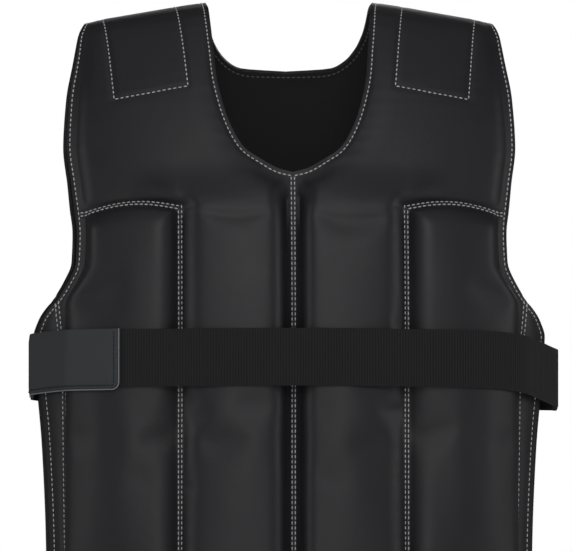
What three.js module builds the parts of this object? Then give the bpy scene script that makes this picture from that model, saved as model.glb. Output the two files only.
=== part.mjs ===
// Pull-over weighted vest with four quilted channels in front and four behind, held by an elastic belt.
// Millimetres, +Z up. The front faces -Y and the wearer's left is +X.
// The origin is the seat of the shoulder straps: the middle of the neck,
// at the height of the shoulder crest's underside.

import * as THREE from 'three';

// Heights, stacked downwards from the shoulder crest
const NECK_DEPTH_FRONT = 152;
const NECK_DEPTH_BACK = 60;
const YOKE_BELOW_NECK = 33;
const ARMHOLE_BELOW_YOKE = 113;
const SKIRT_LENGTH = 254;
const BELT_ABOVE_UNDERARM = 6;

// Widths from the middle
const NECK_HALF_WIDTH = 74;
const CHEST_HALF_WIDTH = 229;
const CHANNEL_WIDTH = 101;
const EDGE_BAND = 9;

// Form of the body that the vest is worn on
const BODY_HALF_DEPTH = 118;
const BODY_SPARE_WIDTH = 8;
const BODY_SQUARENESS = 2.4;
const SHOULDER_RISE = 300;
const SHOULDER_SLOPE = 20;
const SHOULDER_SEAM_BEHIND = 22;
const YOKE_ARCH = 7;
const YOKE_FALL = 5;

// Thicknesses
const EDGE_THICKNESS = 4;
const CHEST_PAD = 5;
const CHANNEL_FILL = 16;
const PAD_ROUNDING = 30;
const SEAM_SOFTENING = 12;
const YOKE_LOOSENESS = 0.4;
const LINING_THICKNESS = 1.2;
const SEAM_GAP = 0.3;
const LINING_GAP = 0.4;

// Belt and its closing tab
const BELT_WIDTH = 52;
const BELT_THICKNESS = 2;
const BELT_GAP = 0.7;
const BELT_SIDE_EASE = 5;
const BELT_DROOP = 24;
const TAB_THICKNESS = 3;
const TAB_OVERHANG = 1;
const TAB_FRONT_TURN = 33;
const TAB_SIDE_TURN = 81;
const TAB_CORNER = 9;
const PIPING_RADIUS = 1;

const YOKE_DROP = NECK_DEPTH_FRONT + YOKE_BELOW_NECK;
const ARMHOLE_DEPTH = YOKE_DROP + ARMHOLE_BELOW_YOKE;
const HEM_DROP = ARMHOLE_DEPTH + SKIRT_LENGTH;
const BELT_DROP = ARMHOLE_DEPTH - BELT_ABOVE_UNDERARM;

const FRONT = -1;
const BACK = 1;

// Armhole edge: drop as a share of ARMHOLE_DEPTH, half-width as a share of CHEST_HALF_WIDTH
const ARMHOLE = [
  { drop: 0.0, half: 0.828 },
  { drop: 0.11, half: 0.849 },
  { drop: 0.245, half: 0.874 },
  { drop: 0.413, half: 0.883 },
  { drop: 0.55, half: 0.864 },
  { drop: 0.698, half: 0.844 },
  { drop: 0.785, half: 0.848 },
  { drop: 0.846, half: 0.881 },
  { drop: 0.896, half: 0.920 },
  { drop: 0.943, half: 0.967 },
  { drop: 1.0, half: 0.998 },
];

// Side edge under the arm: drop as a share of SKIRT_LENGTH, half-width as a share of CHEST_HALF_WIDTH
const SIDE = [
  { drop: 0.0, half: 0.998 },
  { drop: 0.12, half: 0.990 },
  { drop: 0.40, half: 0.963 },
  { drop: 0.70, half: 0.948 },
  { drop: 1.0, half: 0.942 },
];

// Necklines: drop as a share of the neck depth on that side, half-width as a share of NECK_HALF_WIDTH
const NECKLINE = {
  [FRONT]: [
    { drop: 0.0, half: 1.0 },
    { drop: 0.24, half: 0.953 },
    { drop: 0.413, half: 0.922 },
    { drop: 0.605, half: 0.834 },
    { drop: 0.748, half: 0.724 },
    { drop: 0.861, half: 0.574 },
    { drop: 0.926, half: 0.373 },
    { drop: 0.983, half: 0.154 },
    { drop: 1.0, half: 0.0 },
  ],
  [BACK]: [
    { drop: 0.0, half: 1.0 },
    { drop: 0.36, half: 0.950 },
    { drop: 0.60, half: 0.877 },
    { drop: 0.76, half: 0.780 },
    { drop: 0.90, half: 0.620 },
    { drop: 0.965, half: 0.460 },
    { drop: 0.992, half: 0.260 },
    { drop: 1.0, half: 0.0 },
  ],
};

// How far round the belt each station is, in degrees from the front centre, and its share of BELT_DROOP
const BELT_SAG = [
  { turn: -90, sag: 0.45 },
  { turn: -40, sag: 0.08 },
  { turn: 0, sag: 0.0 },
  { turn: 35, sag: 0.10 },
  { turn: 90, sag: 1.0 },
  { turn: 180, sag: 1.0 },
  { turn: 270, sag: 0.45 },
];

// Columns of a half panel, as shares of a channel's width, close together beside the seams
const CHANNEL_COLUMNS = [0, 0.09, 0.27, 0.5, 0.73, 0.91, 1];
const SEAM_COLUMN = CHANNEL_COLUMNS.length - 1;
const BAND_COLUMN = 2 * SEAM_COLUMN;
const LAST_COLUMN = BAND_COLUMN + 1;
const LINING_COLUMNS = [0, 3, 6, 9, 12, 13];

const clamp01 = (value) => Math.min(Math.max(value, 0), 1);
const mix = THREE.MathUtils.lerp;
const smooth = (value) => THREE.MathUtils.smoothstep(value, 0, 1);

// Value of a table at a key, on cubic curves through its rows that never overshoot them
function lookUp(table, key, column, at) {
  const last = table.length - 1;
  if (at <= table[0][key]) return table[0][column];
  if (at >= table[last][key]) return table[last][column];
  let row = 0;
  while (at > table[row + 1][key]) row += 1;
  const slope = (a) => (table[a + 1][column] - table[a][column]) / (table[a + 1][key] - table[a][key]);
  const tangent = (a) => {
    if (a === 0) return slope(0);
    if (a === last) return slope(last - 1);
    const [before, after] = [slope(a - 1), slope(a)];
    return before * after <= 0 ? 0 : (2 * before * after) / (before + after);
  };
  const step = table[row + 1][key] - table[row][key];
  const t = (at - table[row][key]) / step;
  const [t2, t3] = [t * t, t * t * t];
  return (2 * t3 - 3 * t2 + 1) * table[row][column] + (t3 - 2 * t2 + t) * step * tangent(row)
    + (3 * t2 - 2 * t3) * table[row + 1][column] + (t3 - t2) * step * tangent(row + 1);
}

const neckDepth = (side) => (side === FRONT ? NECK_DEPTH_FRONT : NECK_DEPTH_BACK);

function neckHalfWidth(side, drop) {
  const share = drop / neckDepth(side);
  return share >= 1 ? 0 : NECK_HALF_WIDTH * lookUp(NECKLINE[side], 'drop', 'half', share);
}

function edgeHalfWidth(drop) {
  if (drop <= ARMHOLE_DEPTH) return CHEST_HALF_WIDTH * lookUp(ARMHOLE, 'drop', 'half', drop / ARMHOLE_DEPTH);
  return CHEST_HALF_WIDTH * lookUp(SIDE, 'drop', 'half', (drop - ARMHOLE_DEPTH) / SKIRT_LENGTH);
}

const bandHalfWidth = (drop) => Math.min(2 * CHANNEL_WIDTH, edgeHalfWidth(drop) - EDGE_BAND);

// The body is a rounded box in plan, and its depth grows from nothing at the shoulder crest.
// A row is named by its walk: how far it lies from the crest along the cloth, front or back.
const CREST_RADIUS = (0.8 * BODY_HALF_DEPTH ** 2) / SHOULDER_RISE;
const dropOfWalk = (walk) => walk ** 2 / (walk + 2 * CREST_RADIUS);
const walkOfDrop = (drop) => (drop + Math.sqrt(drop ** 2 + 8 * drop * CREST_RADIUS)) / 2;

function bodyDepth(drop) {
  return BODY_HALF_DEPTH * Math.sqrt(1 - (1 - clamp01(drop / SHOULDER_RISE)) ** 1.6);
}

function bodyPoint(side, x, walk) {
  const drop = dropOfWalk(walk);
  const half = CHEST_HALF_WIDTH * lookUp(SIDE, 'drop', 'half', (drop - ARMHOLE_DEPTH) / SKIRT_LENGTH)
    + BODY_SPARE_WIDTH;
  const plan = (1 - Math.min(Math.abs(x) / half, 0.995) ** BODY_SQUARENESS) ** (1 / BODY_SQUARENESS);
  const across = clamp01((Math.abs(x) - NECK_HALF_WIDTH) / (edgeHalfWidth(0) - NECK_HALF_WIDTH));
  const fall = SHOULDER_SLOPE * across * (1 - smooth(drop / YOKE_DROP));
  return new THREE.Vector3(x, side * bodyDepth(drop) * plan, -drop - fall);
}

// Where the cloth crosses the crest, a negative walk is on the other side
function crossPoint(side, x, walk) {
  return walk < 0 ? bodyPoint(-side, x, -walk) : bodyPoint(side, x, walk);
}

function bodyNormal(side, x, walk) {
  const step = 0.5;
  const across = crossPoint(side, x + step, walk).sub(crossPoint(side, x - step, walk));
  const down = crossPoint(side, x, walk + step).sub(crossPoint(side, x, walk - step));
  const normal = across.cross(down).normalize();
  return side === FRONT ? normal.negate() : normal;
}

// Rise of the padding at a distance from the seam or edge that holds it down
const pillow = (distance) => Math.sin((Math.PI / 2) * clamp01(distance / PAD_ROUNDING)) ** 0.8;

function necklineDistance(side, x, drop) {
  let nearest = Infinity;
  for (const row of NECKLINE[side]) {
    const across = Math.abs(x) - row.half * NECK_HALF_WIDTH;
    nearest = Math.min(nearest, Math.hypot(across, drop - row.drop * neckDepth(side)));
  }
  return Math.min(nearest, Math.max(Math.abs(x) - neckHalfWidth(side, drop), 0));
}

const yokeDrop = (x) => {
  const share = clamp01((Math.abs(x) - CHANNEL_WIDTH) / (bandHalfWidth(YOKE_DROP) - CHANNEL_WIDTH));
  return YOKE_DROP + YOKE_FALL * share - YOKE_ARCH * Math.sin(Math.PI * share);
};

// Thickness of the padded panel, from the body outwards
function thickness(side, x, drop) {
  const off = Math.abs(x);
  const belowYoke = drop - yokeDrop(x);
  const outward = off - CHANNEL_WIDTH;
  const toSeam = belowYoke >= 0 ? Math.abs(outward) : Math.hypot(outward, belowYoke);
  const toYoke = outward >= 0 ? Math.abs(belowYoke) : Math.hypot(outward, belowYoke);
  const toInner = drop < neckDepth(side) + PAD_ROUNDING ? necklineDistance(side, x, drop) : off;
  const edges = pillow(Math.min(toInner, off)) * pillow(bandHalfWidth(drop) - off) * pillow(HEM_DROP - drop);
  const stitched = pillow(Math.min(toSeam, toYoke));
  if (outward >= 0 && belowYoke >= 0) return EDGE_THICKNESS + CHANNEL_FILL * edges * stitched;
  const above = clamp01(-belowYoke / SEAM_SOFTENING);
  const filled = smooth((drop - NECK_DEPTH_FRONT) / (2 * YOKE_BELOW_NECK));
  const fill = outward >= 0 ? 0 : filled * (1 - above * smooth(off / CHANNEL_WIDTH));
  const held = mix(stitched, 1, above * YOKE_LOOSENESS);
  return EDGE_THICKNESS + mix(CHEST_PAD, CHANNEL_FILL, fill) * edges * held;
}

// Rows of a panel from the crest to the hem, as walks along the cloth
function rowWalks(side) {
  const neck = neckDepth(side);
  const toNeck = side === FRONT
    ? [[0.413 * neck, 4], [0.748 * neck, 2], [0.861 * neck, 1], [0.926 * neck, 1],
      [0.983 * neck, 1], [neck, 1]]
    : [[0.76 * neck, 2], [0.90 * neck, 1], [0.965 * neck, 1], [neck, 1],
      [0.6 * NECK_DEPTH_FRONT, 1], [NECK_DEPTH_FRONT, 2]];
  const below = [
    [YOKE_DROP, 1],
    [YOKE_DROP + 0.4 * PAD_ROUNDING, 1],
    [0.80 * ARMHOLE_DEPTH, 2],
    [0.91 * ARMHOLE_DEPTH, 1],
    [ARMHOLE_DEPTH, 1],
    [ARMHOLE_DEPTH + 0.4 * SKIRT_LENGTH, 2],
    [HEM_DROP - PAD_ROUNDING, 2],
    [HEM_DROP - 0.25 * PAD_ROUNDING, 1],
    [HEM_DROP, 1],
  ];
  const walks = side === FRONT ? [-SHOULDER_SEAM_BEHIND, 0] : [SHOULDER_SEAM_BEHIND];
  for (const [drop, cells] of [...toNeck, ...below]) {
    const from = walks[walks.length - 1];
    const to = walkOfDrop(drop);
    for (let cell = 1; cell <= cells; cell += 1) walks.push(mix(from, to, cell / cells));
  }
  return walks;
}

const WALKS = { [FRONT]: rowWalks(FRONT), [BACK]: rowWalks(BACK) };
const rowAt = (side, drop) => WALKS[side].findIndex((walk) => Math.abs(walk - walkOfDrop(drop)) < 1e-6);

// Half-width of a column in the row that lies at a drop
function columnOffset(side, column, drop) {
  const inner = neckHalfWidth(side, drop);
  const band = bandHalfWidth(drop);
  const rise = smooth((YOKE_DROP - drop) / YOKE_DROP);
  const seam = mix(CHANNEL_WIDTH, (inner + band) / 2, rise);
  if (column <= SEAM_COLUMN) return mix(inner, seam, CHANNEL_COLUMNS[column]);
  if (column <= BAND_COLUMN) return mix(seam, band, CHANNEL_COLUMNS[column - SEAM_COLUMN]);
  return edgeHalfWidth(drop);
}

// A grid point of a half panel, lifted off the body. The shifts open the gap beside a seam.
function panelPoint(side, hand, column, row, lift, shift = { across: 0, down: 0 }) {
  const walk = WALKS[side][row];
  const level = dropOfWalk(walk);
  const other = walk < 0 ? -side : side;
  const offset = columnOffset(other, column, level) + shift.across;
  const atYoke = row === rowAt(side, YOKE_DROP);
  const drop = (atYoke ? yokeDrop(offset) : level) + shift.down;
  const place = walk < 0 ? walk : walkOfDrop(drop);
  const x = hand * offset;
  const rise = lift === undefined ? thickness(other, x, drop) : lift;
  return crossPoint(side, x, place).addScaledVector(bodyNormal(side, x, place), rise);
}

// Closed mesh between an outer and an inner sheet that share one set of quads
function shell(quads, outerOf, innerOf) {
  const places = new Map();
  const points = [];
  for (const quad of quads) {
    for (const key of quad) {
      if (!places.has(key)) {
        places.set(key, points.length / 2);
        points.push(outerOf(key), innerOf(key));
      }
    }
  }
  const triangles = [];
  const edges = new Map();
  for (const quad of quads) {
    const [a, b, c, d] = quad.map((key) => 2 * places.get(key));
    triangles.push([a, b, c], [a, c, d], [a + 1, c + 1, b + 1], [a + 1, d + 1, c + 1]);
    for (const [from, to] of [[a, b], [b, c], [c, d], [d, a]]) edges.set(`${from} ${to}`, [from, to]);
  }
  for (const [from, to] of edges.values()) {
    if (!edges.has(`${to} ${from}`)) triangles.push([to, from, from + 1], [to, from + 1, to + 1]);
  }
  return closedGeometry(points, triangles);
}

// Geometry of a closed mesh whose faces all point out, whichever way they came
function closedGeometry(points, triangles) {
  let volume = 0;
  for (const [a, b, c] of triangles) {
    volume += points[a].dot(new THREE.Vector3().crossVectors(points[b], points[c]));
  }
  const facing = volume > 0 ? triangles : triangles.map(([a, b, c]) => [a, c, b]);
  const geometry = new THREE.BufferGeometry().setFromPoints(points);
  geometry.setIndex(facing.flat());
  geometry.computeVertexNormals();
  return geometry;
}

const LEATHER = new THREE.MeshStandardMaterial({ color: '#2d2d2f', roughness: 0.55 });
const LINING_CLOTH = new THREE.MeshStandardMaterial({ color: '#141416', roughness: 0.9 });
const WEBBING = new THREE.MeshStandardMaterial({ color: '#211f22', roughness: 0.85 });
const GREY_LEATHER = new THREE.MeshStandardMaterial({ color: '#353638', roughness: 0.5 });
const PIPING = new THREE.MeshStandardMaterial({ color: '#8c8c8e', roughness: 0.5 });

const vest = new THREE.Group();

function addPiece(name, geometry, material) {
  const mesh = new THREE.Mesh(geometry, material);
  mesh.name = name;
  vest.add(mesh);
}

const keyOf = (column, row) => `${column},${row}`;
const partsOf = (key) => key.split(',').map(Number);

// Quads of the cells of a half panel that a test picks
function cellsWhere(side, picks) {
  const quads = [];
  for (let row = 0; row < WALKS[side].length - 1; row += 1) {
    for (let column = 0; column < LAST_COLUMN; column += 1) {
      if (picks(column, row)) {
        quads.push([
          keyOf(column, row), keyOf(column + 1, row), keyOf(column + 1, row + 1), keyOf(column, row + 1),
        ]);
      }
    }
  }
  return quads;
}

// The two leather pieces of a half panel, with a narrow gap along every seam
function addHalfPanel(side, hand, label, handLabel) {
  const yokeRow = rowAt(side, YOKE_DROP);
  const half = SEAM_GAP / 2;
  const isPocket = (column, row) => row >= yokeRow && column >= SEAM_COLUMN;
  const shiftFor = (pocket, column, row) => {
    const shift = { across: 0, down: 0 };
    if (column === SEAM_COLUMN && row >= yokeRow) shift.across = pocket ? half : -half;
    if (row === yokeRow && column >= SEAM_COLUMN) shift.down = pocket ? half : -half;
    if (column === 0) shift.across = half;
    return shift;
  };
  for (const pocket of [false, true]) {
    const quads = cellsWhere(side, (column, row) => isPocket(column, row) === pocket);
    const pointAt = (key, lift) => {
      const [column, row] = partsOf(key);
      const point = panelPoint(side, hand, column, row, lift, shiftFor(pocket, column, row));
      if (side === BACK && row === 0) point.y += SEAM_GAP;
      return point;
    };
    const name = `${label}_${pocket ? 'pocket' : 'chest'}_${handLabel}`;
    addPiece(name, shell(quads, (key) => pointAt(key), (key) => pointAt(key, 0)), LEATHER);
  }
}

// Lining of a whole panel: both halves in one cloth, which parts at the neck
function addLining(side, label) {
  const neckRow = rowAt(side, neckDepth(side));
  const quads = [];
  for (const hand of [-1, 1]) {
    const name = (index, row) => (index === 0 && row >= neckRow ? `0,0,${row}` : `${hand},${index},${row}`);
    for (let row = 0; row < WALKS[side].length - 1; row += 1) {
      for (let index = 0; index < LINING_COLUMNS.length - 1; index += 1) {
        const [near, far] = [index, index + 1];
        const onward = [name(near, row), name(far, row), name(far, row + 1), name(near, row + 1)];
        const mirrored = [name(near, row), name(near, row + 1), name(far, row + 1), name(far, row)];
        quads.push(hand > 0 ? onward : mirrored);
      }
    }
  }
  const pointAt = (key, lift) => {
    const [hand, index, row] = partsOf(key);
    const point = panelPoint(side, hand, LINING_COLUMNS[index], row, lift);
    if (side === BACK && row === 0) point.y += SEAM_GAP;
    return point;
  };
  const outer = (key) => pointAt(key, -LINING_GAP);
  const inner = (key) => pointAt(key, -LINING_GAP - LINING_THICKNESS);
  addPiece(`lining_${label}`, shell(quads, outer, inner), LINING_CLOTH);
}

// The belt is drawn tight round the fullest outline of the vest between its highest and lowest edge.
// Its reach in each direction is the farthest that any point of the vest goes that way.
const DIRECTIONS = 144;
const degrees = THREE.MathUtils.degToRad;

function beltReaches() {
  const points = [];
  for (const side of [FRONT, BACK]) {
    for (let level = 0; level <= 4; level += 1) {
      const drop = BELT_DROP + (level / 4) * (BELT_WIDTH + BELT_DROOP);
      const edge = edgeHalfWidth(drop);
      for (let step = 0; step <= 60; step += 1) {
        const x = (step / 60) * edge;
        const walk = walkOfDrop(drop);
        const lift = thickness(side, x, drop);
        points.push(bodyPoint(side, x, walk).addScaledVector(bodyNormal(side, x, walk), lift));
      }
    }
  }
  return Array.from({ length: DIRECTIONS }, (_, index) => {
    const angle = (2 * Math.PI * index) / DIRECTIONS;
    const [ux, uy] = [Math.sin(angle), -Math.cos(angle)];
    const reach = Math.max(...points.map((point) => Math.abs(point.x) * Math.abs(ux) + point.y * uy));
    return { ux, uy, reach: reach + BELT_GAP + BELT_SIDE_EASE * ux ** 6 };
  });
}
const REACHES = beltReaches();

// A point on the belt's path, at a turn in degrees from the front centre towards the wearer's left
function beltPoint(turn, lift, height) {
  const around = degrees(turn);
  const ray = new THREE.Vector2(CHEST_HALF_WIDTH * Math.sin(around), -BODY_HALF_DEPTH * Math.cos(around));
  ray.normalize();
  let radius = Infinity;
  for (const { ux, uy, reach } of REACHES) {
    const lean = ray.x * ux + ray.y * uy;
    if (lean > 0.05) radius = Math.min(radius, (reach + lift) / lean);
  }
  const wrapped = THREE.MathUtils.euclideanModulo(turn + 90, 360) - 90;
  const sag = BELT_DROOP * lookUp(BELT_SAG, 'turn', 'sag', wrapped);
  return new THREE.Vector3(ray.x * radius, ray.y * radius, height - BELT_DROP - BELT_WIDTH / 2 - sag);
}

// Strip of cloth along the belt's path: each station has a turn and the heights of its two edges
function strip(stations, near, far) {
  const quads = [];
  for (let at = 0; at < stations.length - 1; at += 1) {
    quads.push([keyOf(at, 0), keyOf(at + 1, 0), keyOf(at + 1, 1), keyOf(at, 1)]);
  }
  const pointAt = (key, lift) => {
    const [at, edge] = partsOf(key);
    const { turn, low, high } = stations[at];
    return beltPoint(turn, lift, edge === 0 ? low : high);
  };
  return shell(quads, (key) => pointAt(key, far), (key) => pointAt(key, near));
}

// The tab is square at its sewn end and on top, and its lower front corner is round
const TAB_NEAR = BELT_THICKNESS + SEAM_GAP;
const TAB_HALF_HEIGHT = BELT_WIDTH / 2 + TAB_OVERHANG;
const BELT_JOIN_TURN = -(TAB_FRONT_TURN + TAB_SIDE_TURN) / 2;
const BELT_STEPS = 120;

function tabCorner() {
  const front = beltPoint(-TAB_FRONT_TURN, TAB_NEAR, 0);
  const next = beltPoint(-TAB_FRONT_TURN - 1, TAB_NEAR, 0);
  const degreePerLength = 1 / front.distanceTo(next);
  return [0, 30, 60, 90].map((angle) => {
    const back = TAB_CORNER * (1 - Math.sin(degrees(angle)));
    const up = TAB_CORNER * (1 - Math.cos(degrees(angle)));
    return { turn: -TAB_FRONT_TURN - back * degreePerLength, low: -TAB_HALF_HEIGHT + up };
  });
}

const regularTurns = Array.from(
  { length: BELT_STEPS + 1 },
  (_, step) => BELT_JOIN_TURN + (360 * step) / BELT_STEPS,
);

function tabOutline() {
  const corner = tabCorner();
  const start = -TAB_SIDE_TURN;
  const between = [...regularTurns.map((turn) => turn - 360), ...regularTurns]
    .filter((turn, index, all) => turn > start && turn < corner[0].turn && all.indexOf(turn) === index);
  const lower = [start, ...between].map((turn) => ({ turn, low: -TAB_HALF_HEIGHT }));
  return [...lower, ...corner];
}

// The belt has a station at each of the tab's, so that the tab lies on it all along
function addBelt() {
  const joinGap = 0.1;
  const tabTurns = tabOutline().map(({ turn }) => (turn < BELT_JOIN_TURN ? turn + 360 : turn));
  const turns = [...regularTurns.slice(1, -1), ...tabTurns].sort((a, b) => a - b);
  const apart = turns.filter((turn, index) => index === 0 || turn - turns[index - 1] > joinGap);
  const inside = apart.filter((turn) => Math.abs(turn - BELT_JOIN_TURN) > joinGap);
  const ends = [BELT_JOIN_TURN + joinGap, BELT_JOIN_TURN + 360 - joinGap];
  const stations = [ends[0], ...inside, ends[1]]
    .map((turn) => ({ turn, low: -BELT_WIDTH / 2, high: BELT_WIDTH / 2 }));
  addPiece('belt', strip(stations, 0, BELT_THICKNESS), WEBBING);
}

function addTab() {
  const stations = tabOutline().map(({ turn, low }) => ({ turn, low, high: TAB_HALF_HEIGHT }));
  addPiece('belt_tab', strip(stations, TAB_NEAR, TAB_NEAR + TAB_THICKNESS), GREY_LEATHER);
  addPiece('tab_piping', pipingTube(), PIPING);
}

// Round cord along the tab's lower edge, its corner and its front edge
function pipingTube() {
  const clear = PIPING_RADIUS + SEAM_GAP;
  const lift = TAB_NEAR + TAB_THICKNESS / 2;
  const outline = tabOutline();
  const upright = { turn: -TAB_FRONT_TURN, low: TAB_HALF_HEIGHT };
  const path = [...outline, upright].map(({ turn, low }) => beltPoint(turn, lift, low));
  const centre = beltPoint(-(TAB_FRONT_TURN + TAB_SIDE_TURN) / 2, lift, TAB_HALF_HEIGHT);
  const sides = 6;
  const points = [];
  const triangles = [];
  path.forEach((point, index) => {
    const before = path[Math.max(index - 1, 0)];
    const after = path[Math.min(index + 1, path.length - 1)];
    const along = new THREE.Vector3().subVectors(after, before).normalize();
    const out = new THREE.Vector3(point.x, point.y, 0).normalize();
    const away = new THREE.Vector3().crossVectors(along, out).normalize();
    if (away.dot(new THREE.Vector3().subVectors(point, centre)) < 0) away.negate();
    const lifted = new THREE.Vector3().crossVectors(away, along).normalize();
    const middle = point.clone().addScaledVector(away, clear);
    for (let side = 0; side < sides; side += 1) {
      const angle = (2 * Math.PI * side) / sides;
      points.push(middle.clone()
        .addScaledVector(away, PIPING_RADIUS * Math.cos(angle))
        .addScaledVector(lifted, PIPING_RADIUS * Math.sin(angle)));
    }
  });
  for (let index = 0; index < path.length - 1; index += 1) {
    for (let side = 0; side < sides; side += 1) {
      const next = (side + 1) % sides;
      const [a, b] = [index * sides + side, index * sides + next];
      triangles.push([a, b, b + sides], [a, b + sides, a + sides]);
    }
  }
  const end = (path.length - 1) * sides;
  for (let side = 1; side < sides - 1; side += 1) {
    triangles.push([0, side + 1, side], [end, end + side, end + side + 1]);
  }
  return closedGeometry(points, triangles);
}

for (const [side, label] of [[FRONT, 'front'], [BACK, 'back']]) {
  addHalfPanel(side, 1, label, 'left');
  addHalfPanel(side, -1, label, 'right');
  addLining(side, label);
}
addBelt();
addTab();

export default vest;
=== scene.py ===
# Pull-over weighted vest in black imitation leather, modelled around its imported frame.
# Sizes are in millimetres and are turned to metres when a piece is laid out.
# +X is the wearer's left, -Y the front and +Z up; the shoulder seat is the origin.

import bmesh
import bpy
import math
import numpy as np
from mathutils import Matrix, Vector
from mathutils.bvhtree import BVHTree


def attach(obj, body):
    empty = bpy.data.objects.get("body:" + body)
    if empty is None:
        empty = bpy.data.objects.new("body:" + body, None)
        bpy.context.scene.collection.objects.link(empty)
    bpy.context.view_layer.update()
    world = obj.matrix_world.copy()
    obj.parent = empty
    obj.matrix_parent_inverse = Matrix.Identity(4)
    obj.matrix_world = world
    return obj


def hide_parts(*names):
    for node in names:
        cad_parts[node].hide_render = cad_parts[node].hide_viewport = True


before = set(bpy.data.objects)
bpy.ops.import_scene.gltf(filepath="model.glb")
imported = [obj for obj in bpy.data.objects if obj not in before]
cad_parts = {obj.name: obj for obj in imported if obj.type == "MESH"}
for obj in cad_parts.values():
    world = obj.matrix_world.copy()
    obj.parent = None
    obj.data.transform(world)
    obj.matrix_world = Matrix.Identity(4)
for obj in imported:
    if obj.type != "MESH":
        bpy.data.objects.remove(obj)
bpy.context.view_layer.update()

MM = 0.001
TINY = 1e-12
FRONT, BACK = -1, 1
RIGHT, LEFT = -1, 1

# Heights down from the shoulder crest, and the skirt's length below the arm
NECK_DEPTH = {FRONT: 152, BACK: 60}
YOKE_DROP = 185
ARMHOLE_DEPTH = 298
SKIRT_LENGTH = 254
HEM_DROP = ARMHOLE_DEPTH + SKIRT_LENGTH

# Widths from the middle, and that of the flat band along the outer edge
NECK_HALF_WIDTH = 74
CHEST_HALF_WIDTH = 229
CHANNEL_WIDTH = 101
EDGE_BAND = 9

# Form of the body inside
BODY_HALF_DEPTH = 118
BODY_SPARE_WIDTH = 8
BODY_SQUARENESS = 2.4
SHOULDER_RISE = 300
SHOULDER_POWER = 1.6
SHOULDER_SLOPE = 20
# The shoulder's seam lies behind the crest, and the yoke's arches up and falls outwards
SHOULDER_SEAM_BEHIND = 22
YOKE_ARCH = 7
YOKE_FALL = 5
# Rounded corners of the straps at the crest: share of the half-width there, and how far down they reach
CREST_CORNER = 0.018
NECK_CORNER_DROP = 6
ARM_CORNER_DROP = 12

# Thicknesses
EDGE_THICKNESS = 4
CHEST_PAD = 5
CHANNEL_FILL = 16
# How far in from a seam or edge the padding reaches its height, and how far a seam's step is softened
PAD_ROUNDING = 30
SEAM_SOFTENING = 12
# Over the shoulder the padding is a share of the chest's, which it reaches further down
SHOULDER_PAD = 0.15
SHOULDER_PAD_DROP = 80
# The channels' filling begins above the neckline's lowest point, and is whole after the fading
FILL_START = 30
FILL_FADING = 66
# Roundings of the leather's own form, crisper than the solids
BAND_ROUNDING = 13
SEAM_ROUNDING = 20
CENTRE_ROUNDING = {RIGHT: 21, LEFT: 18}
# Flat strip beside the neckline and the middle seam, at three heights. A fade is where a change starts
# below the neck's lowest point, and over how far it goes.
NECK_FLAT = 1.5
UNDER_NECK_FLAT = 9.5
CENTRE_FLAT = 6
UNDER_NECK_FADE = (-14.4, 16)
CENTRE_FADE = (8, 45)
CENTRE_ROUNDING_FADE = (-10, 50)
# Flat strip and least height, as a share of the padding, beside the other seams
SEAM_FLAT = 2.7
SEAM_FLOOR = 0.3
# Above the yoke's seam the padding is held down less, and the filling fades out
YOKE_LOOSENESS = 0.4
YOKE_FADING = 45
# Lining, and gaps between pieces
LINING_THICKNESS = 1.2
LINING_GAP = 0.4
SEAM_GAP = 0.3
# Between sewn leather pieces, too narrow to show as a dark line
SEAM_CLEARANCE = 0.05

# Belt and tab
BELT_WIDTH = 52
BELT_THICKNESS = 2
BELT_DROP = 292
BELT_DROOP = 24
BELT_GAP = 0.7
# The belt stands off the wearer's left side, and a high power keeps this to the side itself
BELT_EASE_LEFT = 10
BELT_EASE_POWER = 6
TAB_THICKNESS = 3
TAB_OVERHANG = 1
TAB_FRONT_TURN = 33
TAB_SIDE_TURN = 81
TAB_CORNER = 5.5
TAB_EDGE_ROUNDING = 0.7
TAB_CROWN = 0.8
TAB_CROWN_WIDTH = 8
PIPING_RADIUS = 0.65
RIB_PITCH = 2.5
RIB_DEPTH = 0.3
SELVAGE_DEPTH = 0.25

# Armhole edge: drop as a share of the armhole's depth, half-width as a share of the chest's
ARMHOLE = [
    (0.0, 0.828), (0.11, 0.849), (0.245, 0.874), (0.413, 0.883), (0.55, 0.864), (0.698, 0.844),
    (0.785, 0.848), (0.846, 0.881), (0.896, 0.920), (0.943, 0.967), (1.0, 0.998),
]
# Side edge: drop as a share of the skirt's length, half-width as a share of the chest's
SIDE = [(0.0, 0.998), (0.12, 0.990), (0.40, 0.963), (0.70, 0.948), (1.0, 0.942)]
# Necklines: drop as a share of the neck's depth, half-width as a share of the neck's at the crest
NECKLINE = {
    FRONT: [
        (0.0, 1.0), (0.24, 0.953), (0.413, 0.922), (0.605, 0.834), (0.748, 0.724),
        (0.861, 0.574), (0.926, 0.373), (0.983, 0.154), (1.0, 0.0),
    ],
    BACK: [
        (0.0, 1.0), (0.36, 0.950), (0.60, 0.877), (0.76, 0.790), (0.89, 0.670),
        (0.96, 0.550), (0.99, 0.400), (1.0, 0.0),
    ],
}
# Share of the belt's droop at a turn in degrees from the front centre
BELT_SAG = [(-90, 0.45), (-40, 0.08), (0, 0.0), (35, 0.10), (90, 1.0), (180, 1.0), (270, 0.45)]


def smooth(value):
    """0 to 1, level at both ends."""
    t = np.clip(value, 0, 1)
    return t * t * (3 - 2 * t)


def faded(value, start, reach):
    """0 at the start and 1 a reach further, level at both ends."""
    return smooth((value - start) / reach)


def mix(a, b, t):
    return a + (b - a) * t


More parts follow.
